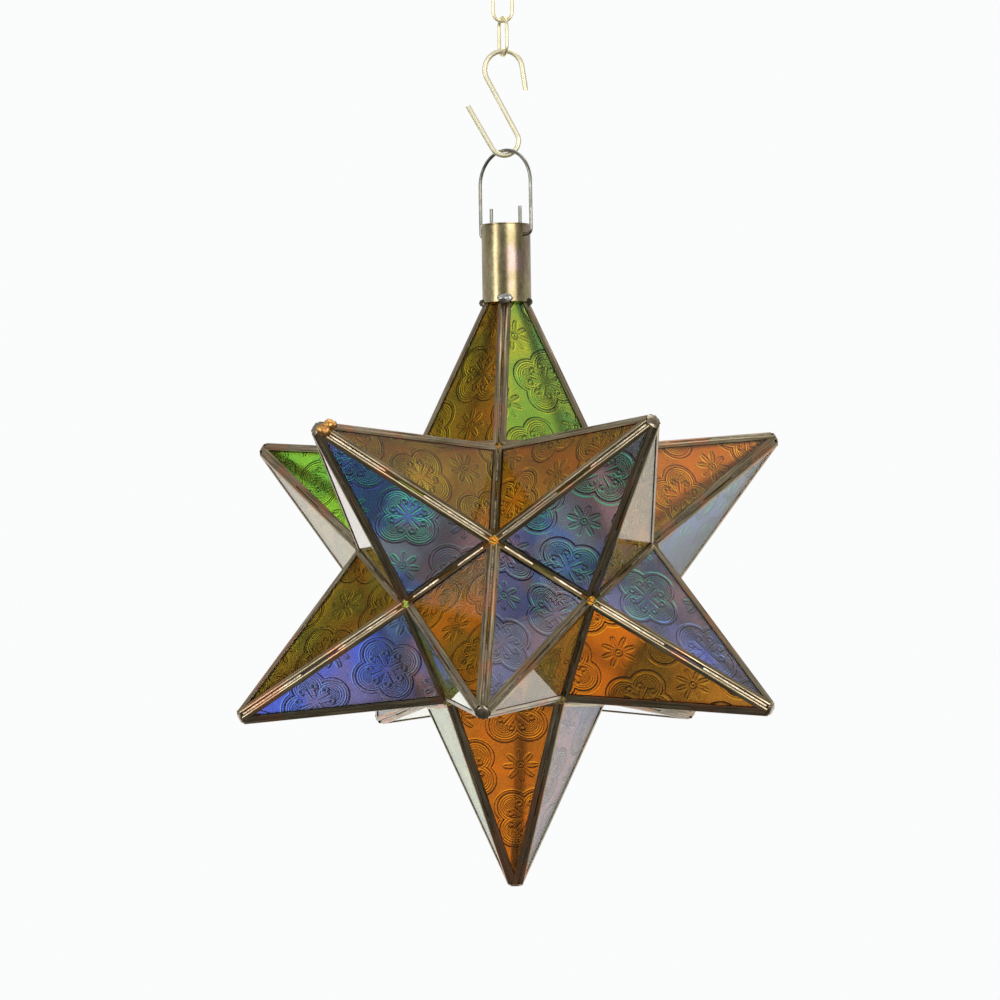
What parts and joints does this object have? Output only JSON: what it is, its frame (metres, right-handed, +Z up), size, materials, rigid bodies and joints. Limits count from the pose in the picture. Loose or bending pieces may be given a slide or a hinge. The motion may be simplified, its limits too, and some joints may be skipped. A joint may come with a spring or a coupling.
{
  "type": "moravian star pendant",
  "caption": "Hanging star lantern of coloured glass panes in metal channel, with pointed arms on a dodecahedron, a tube collar, a swinging wire bail, an S-hook and chain links.",
  "frame": {"origin": "the bearing inside the top of the upper chain link, on its middle plane, where the next link or a ceiling hook pulls", "axes": "+Z up along the line the lantern hangs on; -Y is the front, which a point of the star's lower ring faces; the upper link and the S-hook lie in the XZ plane"},
  "size_m": [0.3052, 0.3208, 0.5223],
  "materials": {
    "amber_glass": "clear amber rolled glass, embossed inside, smooth outside",
    "green_glass": "clear lime to olive green rolled glass, embossed inside, smooth outside",
    "blue_glass": "clear cobalt to blue-grey rolled glass, embossed inside, smooth outside",
    "channel": "antiqued brown bronze, satin, rubbed bright on the folds",
    "collar_brass": "antiqued brass, brushed lengthwise",
    "solder": "darkened solder, satin",
    "bail_wire": "tinned wire, dull",
    "hook_brass": "pale brass wire, polished",
    "chain_brass": "bright pale gold plate"
  },
  "bodies": {
    "upper_link": {"chain_link_upper": "chain_brass"},
    "lower_link": {"chain_link_lower": "chain_brass"},
    "hook": {"s_hook": "hook_brass"},
    "bail": {"bail": "bail_wire"},
    "lantern": {"channel_frames_bottom": "channel", "channel_frames_lower_back_left": "channel", "channel_frames_lower_back_right": "channel", "channel_frames_lower_front": "channel", "channel_frames_lower_left": "channel", "channel_frames_lower_right": "channel", "channel_frames_top": "channel", "channel_frames_upper_back": "channel", "channel_frames_upper_front_left": "channel", "channel_frames_upper_front_right": "channel", "channel_frames_upper_left": "channel", "channel_frames_upper_right": "channel", "collar": "collar_brass", "glass_amber_bottom": "amber_glass", "glass_amber_lower_back_left": "amber_glass", "glass_amber_lower_back_right": "amber_glass", "glass_amber_lower_front": "amber_glass", "glass_amber_lower_left": "amber_glass", "glass_amber_lower_right": "amber_glass", "glass_amber_top": "amber_glass", "glass_amber_upper_back": "amber_glass", "glass_amber_upper_front_left": "amber_glass", "glass_amber_upper_front_right": "amber_glass", "glass_amber_upper_left": "amber_glass", "glass_amber_upper_right": "amber_glass", "glass_blue_bottom": "blue_glass", "glass_blue_lower_back_left": "blue_glass", "glass_blue_lower_back_right": "blue_glass", "glass_blue_lower_front": "blue_glass", "glass_blue_lower_left": "blue_glass", "glass_blue_lower_right": "blue_glass", "glass_blue_top": "blue_glass", "glass_blue_upper_back": "blue_glass", "glass_blue_upper_front_left": "blue_glass", "glass_blue_upper_front_right": "blue_glass", "glass_blue_upper_right": "blue_glass", "glass_green_bottom": "green_glass", "glass_green_lower_back_left": "green_glass", "glass_green_lower_back_right": "green_glass", "glass_green_lower_front": "green_glass", "glass_green_lower_left": "green_glass", "glass_green_lower_right": "green_glass", "glass_green_top": "green_glass", "glass_green_upper_back": "green_glass", "glass_green_upper_front_left": "green_glass", "glass_green_upper_front_right": "green_glass", "glass_green_upper_left": "green_glass", "glass_green_upper_right": "green_glass", "solder_collar_beads": "solder", "solder_ridge_seams": "solder", "solder_tip_caps": "solder", "solder_valley_seams": "solder"}
  },
  "joints": [
    {"name": "lower_link_swing", "type": "hinge", "parent": "upper_link", "child": "lower_link", "pos_m": [0, 0, -0.021], "axis": [1, 0, 0], "range_deg": [-45, 45]},
    {"name": "hook_swing", "type": "hinge", "parent": "lower_link", "child": "hook", "pos_m": [0, 0, -0.04085], "axis": [0.5, -0.866, 0], "range_deg": [-45, 45]},
    {"name": "bail_swing", "type": "hinge", "parent": "hook", "child": "bail", "pos_m": [0, 0, -0.099], "axis": [1, 0, 0], "range_deg": [-20, 20]},
    {"name": "lantern_swing", "type": "hinge", "parent": "bail", "child": "lantern", "pos_m": [0, 0, -0.1459], "axis": [0.809, -0.5878, 0], "range_deg": [-35, 35]}
  ]
}
